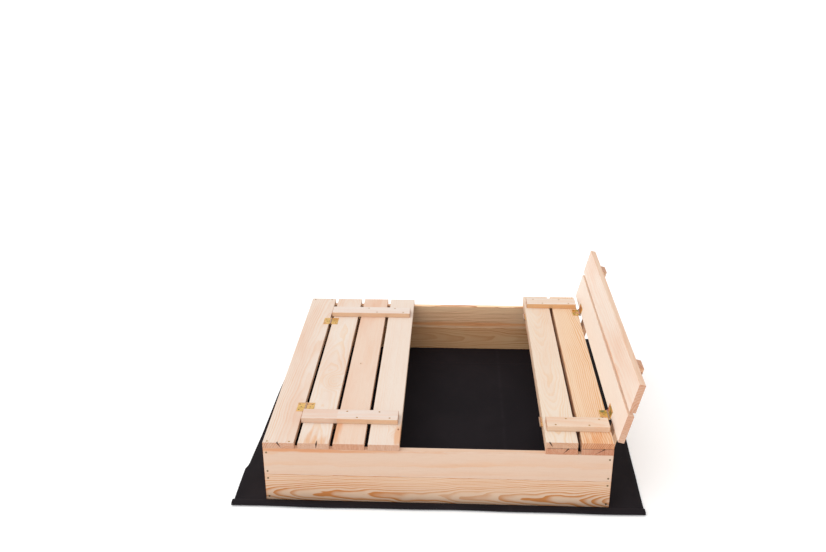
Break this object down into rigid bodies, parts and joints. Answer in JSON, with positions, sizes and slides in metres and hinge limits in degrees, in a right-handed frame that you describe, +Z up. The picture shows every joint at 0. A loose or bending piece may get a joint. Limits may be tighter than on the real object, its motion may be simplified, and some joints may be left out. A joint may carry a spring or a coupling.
{
  "type": "sandbox with folding bench cover",
  "caption": "Square wooden sandpit with a slatted cover that folds out into two facing benches with backrests, on a ground sheet.",
  "frame": {"origin": "on the ground below the middle of the box", "axes": "+X across the cover boards to the bench that stands open, +Y along the boards to the rear, +Z up"},
  "size_m": [1.45, 1.332, 0.4926],
  "materials": {
    "pine_cover": "planed bare pine",
    "pine_battens": "planed bare pine",
    "pine_walls": "planed bare pine",
    "hinge_steel": "yellow passivated zinc",
    "hinge_screws": "yellow passivated zinc",
    "wood_screws": "dull zinc",
    "ground_sheet": "black non-woven geotextile"
  },
  "bodies": {
    "box": {"box_hinge_screws": "hinge_screws", "fixed_board_screws": "wood_screws", "front_wall_lower": "pine_walls", "front_wall_upper": "pine_walls", "ground_sheet": "ground_sheet", "left_fixed_board": "pine_cover", "left_seat_hinge_front_box_leaf": "hinge_steel", "left_seat_hinge_front_pin": "hinge_steel", "left_seat_hinge_rear_box_leaf": "hinge_steel", "left_seat_hinge_rear_pin": "hinge_steel", "left_wall_lower": "pine_walls", "left_wall_upper": "pine_walls", "rear_wall_lower": "pine_walls", "rear_wall_upper": "pine_walls", "right_fixed_board_inner": "pine_cover", "right_fixed_board_outer": "pine_cover", "right_seat_hinge_front_box_leaf": "hinge_steel", "right_seat_hinge_front_pin": "hinge_steel", "right_seat_hinge_rear_box_leaf": "hinge_steel", "right_seat_hinge_rear_pin": "hinge_steel", "right_wall_lower": "pine_walls", "right_wall_upper": "pine_walls", "wall_corner_screws": "wood_screws"},
    "left_seat": {"left_back_hinge_front_pin": "hinge_steel", "left_back_hinge_front_seat_leaf": "hinge_steel", "left_back_hinge_rear_pin": "hinge_steel", "left_back_hinge_rear_seat_leaf": "hinge_steel", "left_seat_board": "pine_cover", "left_seat_hinge_front_seat_leaf": "hinge_steel", "left_seat_hinge_rear_seat_leaf": "hinge_steel", "left_seat_hinge_screws": "hinge_screws"},
    "left_back": {"left_back_batten_front": "pine_battens", "left_back_batten_rear": "pine_battens", "left_back_batten_screws": "wood_screws", "left_back_board_inner": "pine_cover", "left_back_board_outer": "pine_cover", "left_back_hinge_front_back_leaf": "hinge_steel", "left_back_hinge_rear_back_leaf": "hinge_steel", "left_back_hinge_screws": "hinge_screws"},
    "right_seat": {"right_back_hinge_front_pin": "hinge_steel", "right_back_hinge_front_seat_leaf": "hinge_steel", "right_back_hinge_rear_pin": "hinge_steel", "right_back_hinge_rear_seat_leaf": "hinge_steel", "right_seat_batten_front": "pine_battens", "right_seat_batten_rear": "pine_battens", "right_seat_batten_screws": "wood_screws", "right_seat_board_inner": "pine_cover", "right_seat_board_outer": "pine_cover", "right_seat_hinge_front_seat_leaf": "hinge_steel", "right_seat_hinge_rear_seat_leaf": "hinge_steel", "right_seat_hinge_screws": "hinge_screws"},
    "right_back": {"right_back_batten_front": "pine_battens", "right_back_batten_rear": "pine_battens", "right_back_batten_screws": "wood_screws", "right_back_board_lower": "pine_cover", "right_back_board_upper": "pine_cover", "right_back_hinge_front_back_leaf": "hinge_steel", "right_back_hinge_rear_back_leaf": "hinge_steel", "right_back_hinge_screws": "hinge_screws"}
  },
  "joints": [
    {"name": "left_seat_fold", "type": "hinge", "parent": "box", "child": "left_seat", "pos_m": [-0.48533, 0, 0.2393], "axis": [0, -1, 0], "range_deg": [0, 180]},
    {"name": "left_back_fold", "type": "hinge", "parent": "left_seat", "child": "left_back", "pos_m": [-0.364, 0, 0.215], "axis": [0, 1, 0], "range_deg": [0, 77.2]},
    {"name": "right_seat_fold", "type": "hinge", "parent": "box", "child": "right_seat", "pos_m": [0.364, 0, 0.2393], "axis": [0, -1, 0], "range_deg": [0, 180]},
    {"name": "right_back_fold", "type": "hinge", "parent": "right_seat", "child": "right_back", "pos_m": [0.60667, 0, 0.2636], "axis": [0, 1, 0], "range_deg": [0, 76.59]}
  ],
  "couplings": [
    {"joint": "left_back_fold", "follows": "left_seat_fold", "ratio": 0.42887},
    {"joint": "right_back_fold", "follows": "right_seat_fold", "ratio": 0.42552}
  ]
}
